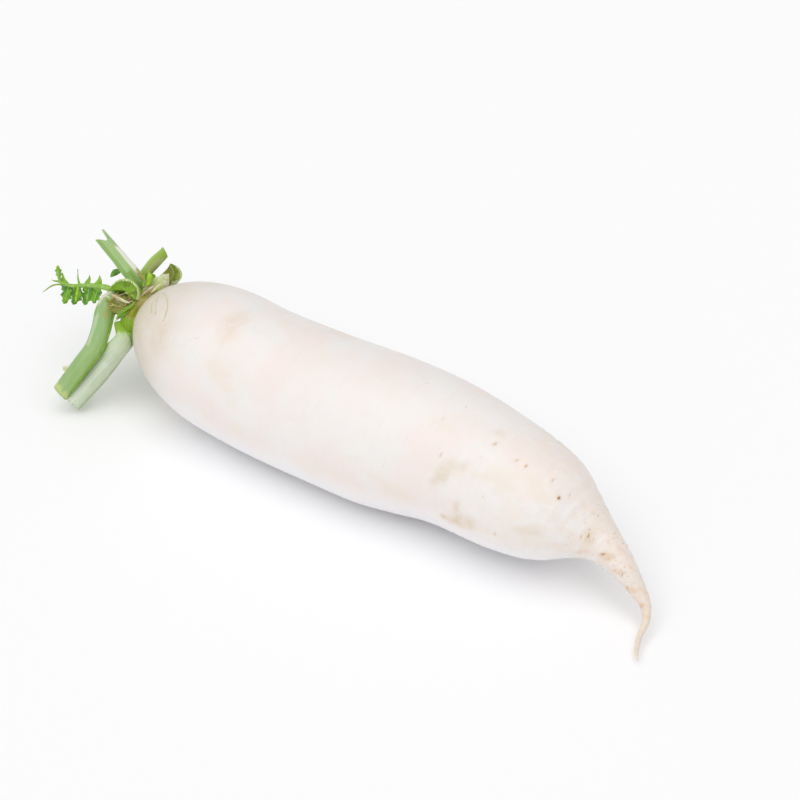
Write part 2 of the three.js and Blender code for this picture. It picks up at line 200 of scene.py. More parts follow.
# The small leaves left in the heart. Each lobe has its edge, its place along the rib, its length, width
# and lean towards the tip, and the way it points. Scraps are as on the crown, below.
UPWARDS = [0, 0.35, 1]
DOWNWARDS = [0.1, -0.45, -1]
BEHIND = [0.3, 0.3, -1]
LEAVES = {
    "young_leaf": dict(
        order=11, rib=[1.8, 0.7],
        line=[[-157, -5, 52.5], [-165, -5.5, 51.2], [-173, -6.5, 48.8], [-181, -8.5, 46.6],
              [-186, -10, 47.5], [-188, -9.5, 53.5]],
        lobes=[
            [TOOTH, 0.41, 5.8, 6, 0.1, UPWARDS], [LOBE, 0.4, 9.5, 7.5, 0.2, DOWNWARDS],
            [TOOTH, 0.555, 5.8, 4.4, 0, UPWARDS], [LOBE, 0.52, 10.5, 7.8, 0.1, DOWNWARDS],
            [TOOTH, 0.66, 8.5, 1.8, 0.35, UPWARDS], [LOBE, 0.65, 10.5, 7.5, 0.2, DOWNWARDS],
            [LOBE, 0.78, 10, 6.5, 0.1, DOWNWARDS], [TOOTH, 0.83, 6, 4.5, 0.5, UPWARDS],
            [TOOTH, 0.86, 6, 2.4, 0.5, [-1, -0.2, -0.1]], [LOBE, 0.92, 6.5, 3.6, 3, UPWARDS],
            [LOBE, 0.46, 9, 7, 0.5, BEHIND], [LOBE, 0.585, 10, 7.4, -0.1, BEHIND],
            [LOBE, 0.715, 9.4, 6.4, 0.4, BEHIND], [LOBE, 0.85, 7, 5, 0.1, [0.2, 0.3, -1]],
        ],
        scraps=[
            ["lime", [(78, 285.5), (77, 293), (75.5, 302)], [-5.6, -4.6, -4], [0.7, 1.5, 0.8]],
            ["green", [(66, 284.5), (54, 285), (42, 292.5)], [-8, -8.5, -8.5], [0.9, 0.8, 0.3]],
        ]),
    "heart_leaf_lime": dict(
        order=13, rib=[2, 1], line=[[-145, 6, 48], [-143.5, 9.5, 52], [-143.5, 11, 56]],
        lobes=[
            [LOBE, 0.62, 4.5, 4.5, 0.5, [0.8, 0.6, 0.3]], [LOBE, 0.7, 4.5, 4.5, 0.5, [-0.8, -0.6, 0.3]],
            [LOBE, 0.9, 4.5, 5, 2, [0.8, 0.6, 0.3]], [LOBE, 0.95, 4, 4.5, 1.5, [-0.8, -0.6, 0.3]],
        ],
        scraps=[]),
}
RIB_SIDES = 24
RIB_STEP = 0.6
LOBE_ROWS = 40
LOBE_COLUMNS = 12
BLADE = 0.5

# Scraps of sheath on the crown, as [tone, pixels in the photograph, how far each is towards the camera
# from the middle of the crown, widths].
CROWN_SCRAPS = [
    ["green", [(132, 305), (124, 310.5), (115.5, 319)], [15, 13.8, 12.4], [1.2, 2, 0.7]],
    ["dark", [(129, 311.5), (121, 316.5), (115, 321)], [14.4, 13, 12], [0.6, 1, 0.3]],
    ["dark", [(129.5, 334), (131, 340), (131.5, 347)], [14.2, 14, 13.6], [0.5, 0.9, 0.3]],
    ["lime", [(147, 286), (149.5, 279), (148.5, 270)], [8.4, 7.4, 6], [1.8, 3.6, 0.6]],
    ["cream", [(151, 293), (157, 287), (162, 283.5)], [10.2, 9.4, 8.6], [0.5, 1.4, 0.4]],
    ["lime", [(158.5, 291), (160, 287.5), (160.5, 284)], [9.8, 9.2, 8.6], [0.4, 0.8, 0.3]],
    ["pink", [(141, 296), (148, 290), (157, 284)], [12.8, 10.6, 8.8], [0.5, 1.3, 0.4]],
    ["straw", [(136, 268), (140.5, 275), (146, 284)], [7.2, 8, 8.6], [1, 2.2, 0.9]],
    ["green", [(143, 272), (144, 279), (143, 287)], [7, 8, 9.4], [0.8, 1.8, 0.8]],
    ["dark", [(110.5, 277), (115, 272.5), (121, 270.5)], [5, 4.4, 4], [1, 3.4, 2]],
    ["cream", [(119, 297), (124, 301), (130, 303)], [14.5, 14.8, 15], [0.5, 1.5, 0.5]],
    ["pink", [(111, 294), (117, 297), (122, 301)], [12, 13.4, 14.2], [0.6, 1.8, 0.7]],
    ["green", [(136, 301), (130, 307), (122, 309)], [15.6, 15, 14], [0.6, 1.6, 0.6]],
    ["straw", [(109, 302), (116, 306), (123, 307)], [9.4, 11, 12], [0.4, 1.2, 0.4]],
]
SCRAP_SIDES = 14
SCRAP_STEP = 0.35
# Dry fibres round the crown's foot lie scattered along this line of pixels, at these lifts.
MESS_LINE = [(109, 302), (154, 290)]
MESS_LIFTS = [9.3, 14.4, 9.2]
MESS_COUNT = 60
MESS_TONES = ["straw", "straw", "pink", "olive", "cream", "green"]
# The two tones of each kind of scrap and fibre.
TONES = {
    "green": ["#8ab32a", "#6e9c22"], "lime": ["#a4c824", "#86b020"], "dark": ["#4c8016", "#6b9a2c"],
    "cream": ["#dcdcb4", "#c3cc90"], "pink": ["#dcc6b0", "#b9a278"], "straw": ["#b7b062", "#8f9138"],
    "olive": ["#87900f", "#9a9430"], "fibre": ["#e0d9b8", "#d2c99a"],
}
# Dry fibres that lie over the shoulder, by pixels.
FIBRES = [
    [(159, 294), (156.5, 302), (155.5, 314)], [(163.5, 293), (167, 300), (167, 310), (163.5, 321)],
    [(154, 300), (151.5, 306), (152, 313)],
]

# Marks on the root's skin, as [pixel in the photograph, length, width, turn from a ring round the root in
# degrees, strength]. First the scars of side roots.
SCARS = [
    [(495, 443.5), 3, 1.6, 20, 0.55], [(517, 460), 2.6, 1.2, 30, 0.55], [(526, 466), 2.4, 1.4, 10, 0.7],
    [(553, 480), 3, 0.9, 0, 0.5], [(559, 498), 2.6, 1.9, 0, 1], [(570, 495), 2.4, 0.8, -20, 0.4],
    [(588.5, 536), 3.4, 0.9, 10, 1], [(603, 554), 4, 1.8, 60, 0.8],
    [(622, 575), 2.4, 1, 0, 0.8], [(615, 570), 2, 0.8, 40, 0.5], [(627, 588), 2, 0.8, 10, 0.7],
    [(641, 607), 2.4, 0.8, 80, 0.7], [(483, 497), 1.4, 0.6, 0, 0.4],
]
# Fine short creases, which the skin shows only as painted shade: grey spots where a crease's shade falls.
CREASE_SHADE_MARKS = [
    [(288, 313), 4, 1, 80, 0.9], [(322, 332), 4, 1, 80, 0.7], [(352, 346), 3, 0.6, 70, 0.5],
    [(418, 371), 3.4, 0.5, 40, 0.7], [(424, 378), 4, 0.5, 60, 0.8], [(427, 383), 4, 0.6, 70, 0.8],
    [(445, 394), 3.4, 0.6, 60, 0.8], [(452, 398), 3, 0.5, 70, 0.7], [(461, 402), 3, 0.5, 30, 0.6],
    [(466, 407), 3, 0.7, -10, 0.9], [(161, 342), 5, 0.6, 10, 0.6], [(197, 338), 5, 0.5, 65, 0.6],
    [(190, 341), 3, 0.4, 20, 0.5], [(514, 430), 2.4, 0.5, 30, 0.6], [(481, 457), 1.6, 0.5, 0, 0.6],
    [(420, 468), 1.6, 0.6, 80, 0.6], [(383, 466), 1.6, 0.5, 10, 0.5], [(506, 545), 3, 0.4, 20, 0.6],
    [(560, 470), 3, 0.5, 20, 0.5], [(575, 510), 4, 0.4, 20, 0.5], [(585, 514), 4, 0.4, 20, 0.5],
    [(250, 372), 2, 0.4, 40, 0.4], [(335, 440), 2, 0.4, 0, 0.4], [(212, 300), 2.4, 0.4, 70, 0.5],
]
# Brown blotches on the tail and where it starts.
TANS = [
    [(607, 558), 12, 6, 60, 0.8], [(618, 572), 12, 4, 75, 0.6], [(631, 590), 12, 4, 75, 0.7],
    [(642, 605), 8, 4, 70, 0.8], [(622, 550), 10, 4, 80, 0.5], [(630, 567), 12, 3, 80, 0.4],
    [(643, 591), 12, 2.5, 80, 0.5], [(645, 616), 9, 3, 80, 0.7], [(641, 632), 6, 2, 80, 0.5],
    [(592, 512), 14, 4, 80, 0.3], [(598, 530), 10, 6, 40, 0.2], [(580, 552), 14, 5, 60, 0.4],
]
# Wide, faint stains, partly real and partly painted shade for the shallow hollows in the flank.
STAINS_AND_HOLLOW_SHADE = [
    [(232, 325), 34, 20, 0, 0.45], [(160, 338), 32, 20, 0, 0.5], [(443, 474), 26, 12, 20, 0.75],
    [(436, 482), 14, 10, 70, 0.5], [(460, 522), 30, 14, 70, 0.85], [(444, 517), 9, 6, 60, 0.9],
    [(456, 508), 12, 6, 0, 0.6], [(530, 531), 26, 9, 80, 0.5], [(588, 540), 22, 12, 0, 0.45],
    [(460, 466), 18, 8, 60, 0.45], [(562, 445), 10, 5, 60, 0.5], [(500, 433), 14, 8, 70, 0.3],
]
# Shallow hollows in the flank, and nubs where side roots broke off, as [pixel, radius, height].
RELIEF = [
    [(443, 476), 9, -0.35], [(458, 516), 10, -0.3], [(490, 425), 12, -0.3], [(578, 505), 9, -0.3],
    [(601, 554), 2.4, 0.5], [(608, 562), 1.8, 0.35], [(559, 497), 1.8, 0.25], [(632, 594), 1.4, 0.3],
]


# Curves and lines

def curve_through(pairs):
    """A smooth curve through [at, value] pairs that doesn't overshoot them."""
    xs, ys = np.array(pairs, float).T
    rise = np.diff(ys) / np.diff(xs)
    before = np.concatenate([rise[:1], rise])
    after = np.concatenate([rise, rise[-1:]])
    turns = before * after <= 0
    slope = np.where(turns, 0, 2 * before * after / np.where(turns, 1, before + after))

    def curve(x):
        i = np.clip(np.searchsorted(xs, x, side="right") - 1, 0, len(xs) - 2)
        span = xs[i + 1] - xs[i]
        t = np.clip((x - xs[i]) / span, 0, 1)
        ease = t * t * (3 - 2 * t)
        bend = span * t * (1 - t) * ((1 - t) * slope[i] - t * slope[i + 1])
        return ys[i] * (1 - ease) + ys[i + 1] * ease + bend

    return curve


class Line:
    """A smooth line through points, measured along its length."""

    SAMPLES = 60

    def __init__(self, points):
        given = np.array(points, float)
        given = np.vstack([2 * given[0] - given[1], given, 2 * given[-1] - given[-2]])
        knots = np.concatenate([[0], np.cumsum(np.linalg.norm(np.diff(given, axis=0), axis=1) ** 0.5)])
        parts = [self.stretch(given[i:i + 4], knots[i:i + 4]) for i in range(len(given) - 3)]
        self.points = np.vstack([*parts, given[-2:-1]])
        steps = np.linalg.norm(np.diff(self.points, axis=0), axis=1)
        self.distances = np.concatenate([[0], np.cumsum(steps)])
        self.length = self.distances[-1]

    def stretch(self, p, k):
        """The points between the middle two of four, by repeated interpolation."""
        t = np.linspace(k[1], k[2], self.SAMPLES, endpoint=False)[:, None]

        def between(a, b, low, high):
            return (a * (k[high] - t) + b * (t - k[low])) / (k[high] - k[low])

        first, second, third = (between(p[i], p[i + 1], i, i + 1) for i in range(3))
        return between(between(first, second, 0, 2), between(second, third, 1, 3), 1, 2)

    def at(self, distance):
        return np.stack([np.interp(distance, self.distances, self.points[:, i]) for i in range(3)], -1)

    def tangent(self, distance):
        way = self.at(np.add(distance, 0.3)) - self.at(np.subtract(distance, 0.3))
        return way / np.linalg.norm(way, axis=-1, keepdims=True)


def unit(vector):
    return np.asarray(vector, float) / np.linalg.norm(vector)


def smooth(value, low, high):
    t = np.clip((value - low) / (high - low), 0, 1)
    return t * t * (3 - 2 * t)


def frames_along(line, distances, normal):
    """Each distance with the line's point, its tangent, and an across and a normal that don't twist."""
    normal = np.array(normal, float)
    for distance in distances:
        tangent = line.tangent(distance)
        normal = unit(normal - tangent * (normal @ tangent))
        yield distance, line.at(distance), tangent, np.cross(normal, tangent), normal


def full_turn(sides):
    """Even angles round a tube."""
    return np.arange(sides) * TURN / sides


def circle(angles, radius, across, normal):
    return np.outer(np.cos(angles) * radius, across) + np.outer(np.sin(angles) * radius, normal)


def ripples(rng, count, along, around, amount):
    """A smooth uneven surface that closes round a tube: a function of distance and angle. along is the
    shortest and longest wave, around the most waves in a turn."""
    waves = [
        (TURN / rng.uniform(*along), int(rng.integers(0, around + 1)), rng.uniform(0, TURN), rng.normal())
        for _ in range(count)
    ]
    scale = amount / math.sqrt(count)
    return lambda d, a: scale * sum(size * np.sin(k * d + m * a + phase) for k, m, phase, size in waves)


# The camera, and places that are seen through it

def seen_at(tree, pixel):
    """The point, and the normal there, of the surface that the camera sees at a pixel of the photograph."""
    x, y = np.subtract(pixel, IMAGE_SIZE / 2)
    point, normal, _, _ = tree.ray_cast(Vector(EYE), Vector(RIGHT * x - UP * y - BACK * FOCAL_PIXELS))
    return np.array(point), np.array(normal)


def facing(pixel, lift):
    """The point seen at a pixel that is lift millimetres nearer to the camera than the crown's middle."""
    x, y = np.subtract(pixel, IMAGE_SIZE / 2)
    depth = CAMERA_DISTANCE + (CAMERA_TARGET - CROWN_FOOT - REST) @ BACK - lift
    return EYE + ((RIGHT * x - UP * y) / FOCAL_PIXELS - BACK) * depth


def add_object(name, data):
    thing = bpy.data.objects.new(name, data)
    bpy.context.scene.collection.objects.link(thing)
    return thing


def add_camera():
    data = bpy.data.cameras.new("camera")
    data.lens = FOCAL_PIXELS / IMAGE_SIZE * data.sensor_width
    camera = add_object("camera", data)
    camera.location = EYE * MM
    camera.rotation_euler = Matrix((RIGHT, UP, BACK)).transposed().to_euler()
    bpy.context.scene.camera = camera


# Meshes

def piece(name, points, faces, materials, face_materials, values, replaces, slot):
    """A mesh in the solids' frame, made from millimetre points, that rides on the root body."""
    mesh = bpy.data.meshes.new(name)
    mesh.from_pydata((np.asarray(points) * MM).tolist(), [], faces)
    for each in materials:
        mesh.materials.append(each)
    mesh.polygons.foreach_set("material_index", face_materials)
    for title, data in values.items():
        mesh.attributes.new(title, "FLOAT", "POINT").data.foreach_set("value", np.asarray(data, np.float32))
    mesh.polygons.foreach_set("use_smooth", [True] * len(mesh.polygons))
    tidy = bmesh.new()
    tidy.from_mesh(mesh)
    bmesh.ops.remove_doubles(tidy, verts=tidy.verts, dist=1e-7)
    bmesh.ops.recalc_face_normals(tidy, faces=tidy.faces)
    tidy.to_mesh(mesh)
    tidy.free()
    thing = add_object(name, mesh)
    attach(thing, "root")
    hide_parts(*replaces)


def tube_faces(rings, sides):
    faces = []
    for i in range(rings - 1):
        for j in range(sides):
            a, b = i * sides + j, i * sides + (j + 1) % sides
            faces.append((a, b, b + sides, a + sides))
    return faces


def closed_tube(rings, sides):
    """The faces of a tube of rings, with its two ends."""
    last = (rings - 1) * sides
    return tube_faces(rings, sides) + [tuple(range(sides))[::-1], tuple(range(last, last + sides))]


class Build:
    """Collects the points, faces, materials and point values of one piece."""

    def __init__(self, *titles):
        self.points = []
        self.faces = []
        self.slots = []
        self.values = {title: [] for title in titles}

    def add(self, points, faces, slot=0, **values):
        start = sum(len(p) for p in self.points)
        self.points.append(np.asarray(points, float).reshape(-1, 3))
        self.faces += [tuple(start + i for i in face) for face in faces]
        self.slots += [slot] * len(faces)
        for title, gathered in self.values.items():
            gathered.append(np.broadcast_to(values.get(title, 0), len(self.points[-1])).astype(float))

    def finish(self, name, materials, **settings):
        values = {title: np.concatenate(gathered) for title, gathered in self.values.items()}
        piece(name, np.concatenate(self.points), self.faces, materials, self.slots, values, **settings)


def add_tube(build, line, distances, sizes, sides, normal, slot=0, **values):
    """A closed tube along a line. sizes gives each ring its radius, or one for each of its points."""
    angles = full_turn(sides)
    rings = []
    for size, (_, centre, _, across, up) in zip(sizes, frames_along(line, distances, normal)):
        rings.append(centre + circle(angles, size, across, up))
    build.add(rings, closed_tube(len(rings), sides), slot, **values)


def thread(build, points, radius, slot, sides, taper=1.0):
    """A thin round strand through points, which narrows to a share of its radius at its end."""
    line = Line(points)
    distances = np.linspace(0, line.length, max(int(line.length / (3 * radius)), 6))
    sizes = radius * (1 + (taper - 1) * distances / line.length)
    add_tube(build, line, distances, sizes, sides, [0.1, 0.2, 1], slot)


def ribbon(build, pixels, lifts, widths, slot):
    """A flat scrap that faces the camera and narrows to rounded ends."""
    line = Line([facing(pixel, lift) for pixel, lift in zip(pixels, lifts)])
    count = max(int(line.length / SCRAP_STEP), 10)
    angles = full_turn(SCRAP_SIDES)
    rings = []
    for share in np.linspace(0, 1, count + 1):
        distance = share * line.length
        tangent = line.tangent(distance)
        across = unit(np.cross(BACK, tangent))
        normal = np.cross(tangent, across)
        size = np.interp(share, np.linspace(0, 1, len(widths)), widths) / 2
        size *= max(1 - abs(2 * share - 1) ** 6, 0.02) ** 0.5
        curl = 0.25 * size * np.cos(angles) ** 2
        flat = np.outer(np.cos(angles) * size, across)
        rings.append(line.at(distance) + flat + np.outer(np.sin(angles) * size * 0.3 - curl, normal))
    build.add(rings, closed_tube(count + 1, SCRAP_SIDES), slot)


# Materials

def colour(code):
    """A screen colour as the linear values that shaders take."""
    parts = [int(code[i:i + 2], 16) / 255 for i in (1, 3, 5)]
    return (*[c / 12.92 if c <= 0.04045 else ((c + 0.055) / 1.055) ** 2.4 for c in parts], 1.0)


class Paint:
    """A node material, put together by short calls. Lengths in it are millimetres. A colour is given by
    its code or by a node's output, and base is the colour so far."""

    def __init__(self, name, roughness, subsurface=0.0, depth=1.0):
        self.material = bpy.data.materials.new(name)
        self.material.use_nodes = True
        self.tree = self.material.node_tree
        self.surface = self.fill(self.tree.nodes["Principled BSDF"], {
            "Roughness": roughness, "Subsurface Weight": subsurface, "Subsurface Radius": (1.0, 0.7, 0.45),
            "Subsurface Scale": depth * MM,
        })
        self.place = self.vector("SCALE", self.node("TexCoord", {}).outputs["Object"], scale=1 / MM)
        self.base = None

    def put(self, value, socket):
        if isinstance(value, bpy.types.NodeSocket):
            self.tree.links.new(value, socket)
        else:
            socket.default_value = colour(value) if isinstance(value, str) else value

    def fill(self, node, inputs):
        """Gives a node its inputs, by title or number. Each is a value or another node's output."""
        for title, value in inputs.items():
            self.put(value, node.inputs[title])
        return node

    def node(self, kind, inputs, **settings):
        node = self.tree.nodes.new("ShaderNode" + kind)
        for title, setting in settings.items():
            setattr(node, title, setting)
        return self.fill(node, inputs)

    def vector(self, operation, a, b=(0.0, 0.0, 0.0), scale=1.0):
        node = self.node("VectorMath", {0: a, 1: b, 3: scale}, operation=operation)
        return node.outputs["Value" if operation == "LENGTH" else "Vector"]

    def maths(self, operation, a, b=0.0):
        return self.node("Math", {0: a, 1: b}, operation=operation).outputs[0]

    def times(self, *values):
        return reduce(lambda a, b: self.maths("MULTIPLY", a, b), values)

    def most(self, *values):
        return reduce(lambda a, b: self.maths("MAXIMUM", a, b), values)

    def value(self, title):
        return self.node("Attribute", {}, attribute_name=title).outputs["Fac"]

    def texture(self, kind, place, sizes, **inputs):
        grid = self.vector("MULTIPLY", place, tuple(1 / s for s in sizes))
        return self.node(kind, {"Vector": grid, "Scale": 1.0, **inputs})

    def noise(self, size, detail=3.0, roughness=0.55, place=None):
        """Uneven cloudiness from 0 to 1. size is its grain along X, Y and Z, or one number for all."""
        sizes = (size, size, size) if isinstance(size, (int, float)) else size
        node = self.texture("TexNoise", place or self.place, sizes, Detail=detail, Roughness=roughness)
        return node.outputs["Fac"]

    def cells(self, sizes):
        """Distance to the nearest of scattered centres, and a random value for each centre."""
        node = self.texture("TexVoronoi", self.place, sizes)
        chance = self.node("SeparateColor", {0: node.outputs["Color"]})
        return node.outputs["Distance"], chance.outputs[0]

    def ramp(self, value, low, high, start=0.0, end=1.0):
        """value from low to high becomes start to end, smoothly, and stays there outside."""
        inputs = dict(enumerate((value, low, high, start, end)))
        return self.node("MapRange", inputs, interpolation_type="SMOOTHSTEP").outputs[0]

    def patches(self, size, detail, low, high, start=0.0, end=1.0):
        """Soft patches: start where the noise is below low, and end where it is above high."""
        return self.ramp(self.noise(size, detail), low, high, start, end)

    def band(self, value, low, high, outside, inside):
        """1 from low to high, falling to 0 from inside to outside of either."""
        rising = self.ramp(value, low - outside, low + inside)
        return self.times(rising, self.ramp(value, high + outside, high - inside))

    def blend(self, share, a, b):
        return self.node("Mix", {0: share, 6: a, 7: b}, data_type="RGBA").outputs[2]

    def over(self, tone, *shares):
        """Lays a tone over the colour so far, as strongly as the shares multiplied together say."""
        self.base = self.blend(self.times(*shares), self.base, tone)

    def spots(self, places, edge, core=0.35):
        """How strongly any of some oval spots covers a point. Each is its middle, axes, half sizes and
        strength."""
        cloud = self.texture("TexNoise", self.place, (1.3, 1.3, 1.3)).outputs["Color"]
        stray = self.vector("SUBTRACT", cloud, (0.5, 0.5, 0.5))
        near = self.vector("ADD", self.place, self.vector("SCALE", stray, scale=edge))
        covers = []
        for middle, axes, halves, strength in places:
            turn = Matrix(axes).transposed().to_euler()
            inputs = {"Vector": near, "Location": tuple(middle), "Rotation": turn, "Scale": halves}
            local = self.node("Mapping", inputs, vector_type="TEXTURE").outputs[0]
            covers.append(self.ramp(self.vector("LENGTH", local), core, 1.0, strength, 0.0))
        return self.most(*covers)

    def bump(self, *layers):
        """Each layer is a 0 to 1 height and the millimetres that it stands for."""
        heights = [self.times(height, size * MM) for height, size in layers]
        total = reduce(lambda a, b: self.maths("ADD", a, b), heights)
        node = self.node("Bump", {"Distance": 1.0, "Height": total})
        self.put(node.outputs[0], self.surface.inputs["Normal"])

    def done(self):
        self.put(self.base, self.surface.inputs["Base Color"])
        return self.material


def root_skin(scars, creases):
    """White skin with faint rings, duller at the shoulder with painted shade, whiter and cooler below with
    painted bounce light, and sandy and rougher towards the tail. along is millimetres from the shoulder."""
    paint = Paint("root_skin", 0.42, subsurface=0.25, depth=3.0)
    paint.base = paint.blend(paint.patches(34, 2.5, 0.4, 0.62), "#efebe8", "#f1e6e1")
    paint.over("#ece2d4", paint.patches((30, 16, 16), 3, 0.52, 0.72, 0, 0.6))
    rings = paint.noise((1.1, 16, 16), 3, 0.6)
    paint.over("#e9e0da", paint.ramp(rings, 0.5, 0.75, 0, 0.3))

    along = paint.value("along")
    paint.over("#eddfd2", paint.ramp(along, 190, 262, 0, 0.52), paint.patches((9, 5, 5), 3, 0.35, 0.65))
    # Painted light: the underside, away from the tail, is whitened and cooled as floor bounce light would.
    paint.over("#f4f4f8", paint.value("belly"), 0.8)
    # Painted shade: the skin turns greyer towards the shoulder, and darker beige in patches near it, for the
    # shade that falls there.
    paint.over("#d8cfc2", paint.ramp(along, 60, 0, 0, 0.95))
    paint.over("#d8cbb0", paint.ramp(along, 40, 8), paint.patches(9, 3, 0.4, 0.6, 0, 0.5))

    uneven = paint.patches(4.5, 3, 0.3, 0.68, 0.35, 1.0)
    # Beige stains, partly real and partly painted shade where the shallow hollows lie.
    paint.over("#d9c5a4", paint.value("stain"), uneven)
    # Painted shade: grey spots over the fine creases, which have no relief of their own.
    paint.over("#c6bbb3", paint.spots(creases, 2.4, core=0.2), 0.75)

    distance, chance = paint.cells((7, 15, 15))
    picked = paint.ramp(chance, paint.ramp(along, 100, 250, 0.97, 0.55), 1.0)
    flecks = paint.times(paint.ramp(distance, 0.13, 0.05), paint.ramp(picked, 0.02, 0.2))
    scar = paint.spots(scars, 1.1)
    halo = paint.most(scar, paint.times(flecks, 0.5))
    paint.over("#dcc8a6", paint.value("bruise"), 0.8)
    paint.over("#cfa070", halo, 0.8)
    dark = paint.times(paint.ramp(scar, 0.45, 0.95), paint.patches((0.35, 1.4, 1.4), 2, 0.45, 0.6))
    paint.over("#a87a4c", dark)

    on_tail = paint.ramp(along, 254, 272)
    specks = paint.ramp(paint.noise((1.5, 1.1, 1.1), 2, 0.5), 0.6, 0.72)
    paint.over("#b98a58", on_tail, paint.times(specks, paint.patches(7, 2, 0.42, 0.6)), 0.75)
    paint.over("#e3c8a6", on_tail, paint.patches((4, 2.2, 2.2), 3, 0.58, 0.7, 0, 0.45))
    paint.over("#e6d4c2", paint.ramp(along, 272, 318, 0, 0.75))
    paint.over("#dfbd96", paint.value("tan"), uneven)
    tail_grain = paint.times(on_tail, paint.noise((1.2, 3, 3), 3))
    paint.bump((rings, 0.09), (paint.noise(0.6, 2), 0.012), (halo, -0.12), (dark, -0.15), (tail_grain, 0.5))
    paint.put(paint.patches(12, 3, 0.35, 0.7, 0.36, 0.5), paint.surface.inputs["Roughness"])
    return paint.done()


def stalk_skin(name, colours, touches):
    """A ribbed skin. round runs from 0 to 1 across the outer side and on to 2 across the groove; along is
    millimetres from the foot, and rest is millimetres left to the tip."""
    paint = Paint(name, 0.42, subsurface=0.2, depth=1.5)
    skin, foot, tip, inner, rim = colours
    round_, along, rest = (paint.value(title) for title in ("round", "along", "rest"))
    place = paint.node("CombineXYZ", {0: paint.times(round_, 14.0), 1: along}).outputs[0]
    strips = paint.noise((0.35, 14, 1), 3, 0.6, place)
    broad = paint.noise((2.4, 9, 1), 2, 0.5, place)

    paint.base = paint.blend(paint.ramp(broad, 0.35, 0.65, 0, 0.5), skin, tip)
    paint.over(foot, paint.ramp(along, 14, 2, 0, 0.85))
    paint.over(tip, paint.ramp(rest, 9, 0, 0, 0.7))
    paint.over(inner, paint.band(round_, 1.02, 1.98, 0, 0.1))
    one = paint.ramp(paint.maths("ABSOLUTE", paint.maths("SUBTRACT", round_, 1.02)), 0.16, 0.02)
    other = paint.most(paint.ramp(round_, 0.1, 0.0), paint.ramp(round_, 1.9, 1.97))
    paint.over(rim, paint.most(one, other), 0.8)
    paint.over(paint.blend(0.45, tip, "#f1f4e6"), paint.ramp(strips, 0.55, 0.75, 0, 0.35))
    paint.over(paint.blend(0.5, rim, "#55761f"), paint.ramp(strips, 0.42, 0.28, 0, 0.35))
    paint.over("#b49a62", paint.patches(1.2, 3, 0.66, 0.74, 0, 0.35))
    stray = paint.maths("SUBTRACT", broad, 0.5)
    around = paint.maths("ADD", round_, paint.times(stray, 0.16))
    up = paint.maths("ADD", along, paint.times(stray, 7.0))
    for left, right, low, high, tone, strength in touches:
        sideways = paint.band(around, left, right, 0.03, 0.05)
        paint.over(tone, sideways, paint.band(up, low, high, 1.2, 1.2), strength)
    paint.bump((strips, 0.14), (paint.noise(0.5, 2), 0.03))
    return paint.done()


def cut_flesh(name, light, dark):
    """The wet, stringy face of a cut: pale flesh with the darker ends of its strands."""
    paint = Paint(name, 0.5, subsurface=0.3, depth=1.5)
    distance, _ = paint.cells((0.9, 0.9, 0.9))
    paint.base = paint.blend(paint.ramp(distance, 0.35, 0.15, 0, 0.8), light, dark)
    paint.over(dark, paint.patches(3.5, 2, 0.42, 0.62, 0, 0.8))
    paint.over("#c9b98a", paint.patches(1.8, 3, 0.52, 0.75, 0, 0.4))
    paint.bump((distance, 0.25), (paint.noise(0.25, 2), 0.1))
    return paint.done()


def crown_skin(spots):
    """Dry, patchy skin. height is millimetres above the middle of the shoulder."""
    paint = Paint("crown_skin", 0.55, subsurface=0.15, depth=1.5)
    paint.base = paint.blend(paint.patches(5, 3, 0.4, 0.6), "#949e3c", "#b3a56c")
    paint.over("#a99f5e", paint.ramp(paint.value("height"), 0.0, -4))
    paint.over("#87911c", paint.patches(4.5, 2, 0.48, 0.58, 0, 0.9))
    for place, radius, tone in spots:
        paint.over(tone, paint.spots([(place, Matrix.Identity(3), (radius,) * 3, 1.0)], 3.0, core=0.6))
    dry = paint.noise(1.4, 4, 0.65)
    paint.over("#8a6a3c", paint.ramp(dry, 0.6, 0.75, 0, 0.7))
    paint.bump((dry, 0.35), (paint.noise(0.5, 3), 0.1))
    return paint.done()


def leaf_green(name, light, dark, edge):
    """A soft blade. across runs from 0 at its vein to 1 at its edge, and along from its foot to its tip."""
    paint = Paint(name, 0.48, subsurface=0.25, depth=0.6)
    across, along = paint.value("across"), paint.value("along")
    paint.base = paint.blend(paint.patches(2.6, 3, 0.35, 0.65), dark, light)
    slanted = paint.maths("SUBTRACT", paint.times(along, 5.0), paint.times(across, 1.5))
    side_veins = paint.ramp(paint.maths("PINGPONG", slanted, 0.5), 0.06, 0.0)
    vein = paint.most(side_veins, paint.ramp(across, 0.12, 0.02))
    paint.over("#b7cf7a", vein, 0.6)
    paint.over(edge, paint.ramp(across, 0.82, 1, 0, 0.6))
    paint.bump((vein, -0.12), (paint.noise(0.7, 3), 0.1))
    return paint.done()


def strand(name, tone, other):
    paint = Paint(name, 0.55, subsurface=0.2, depth=0.5)
    paint.base = paint.blend(paint.patches(2.5, 2, 0.35, 0.65), tone, other)
    return paint.done()


# The root

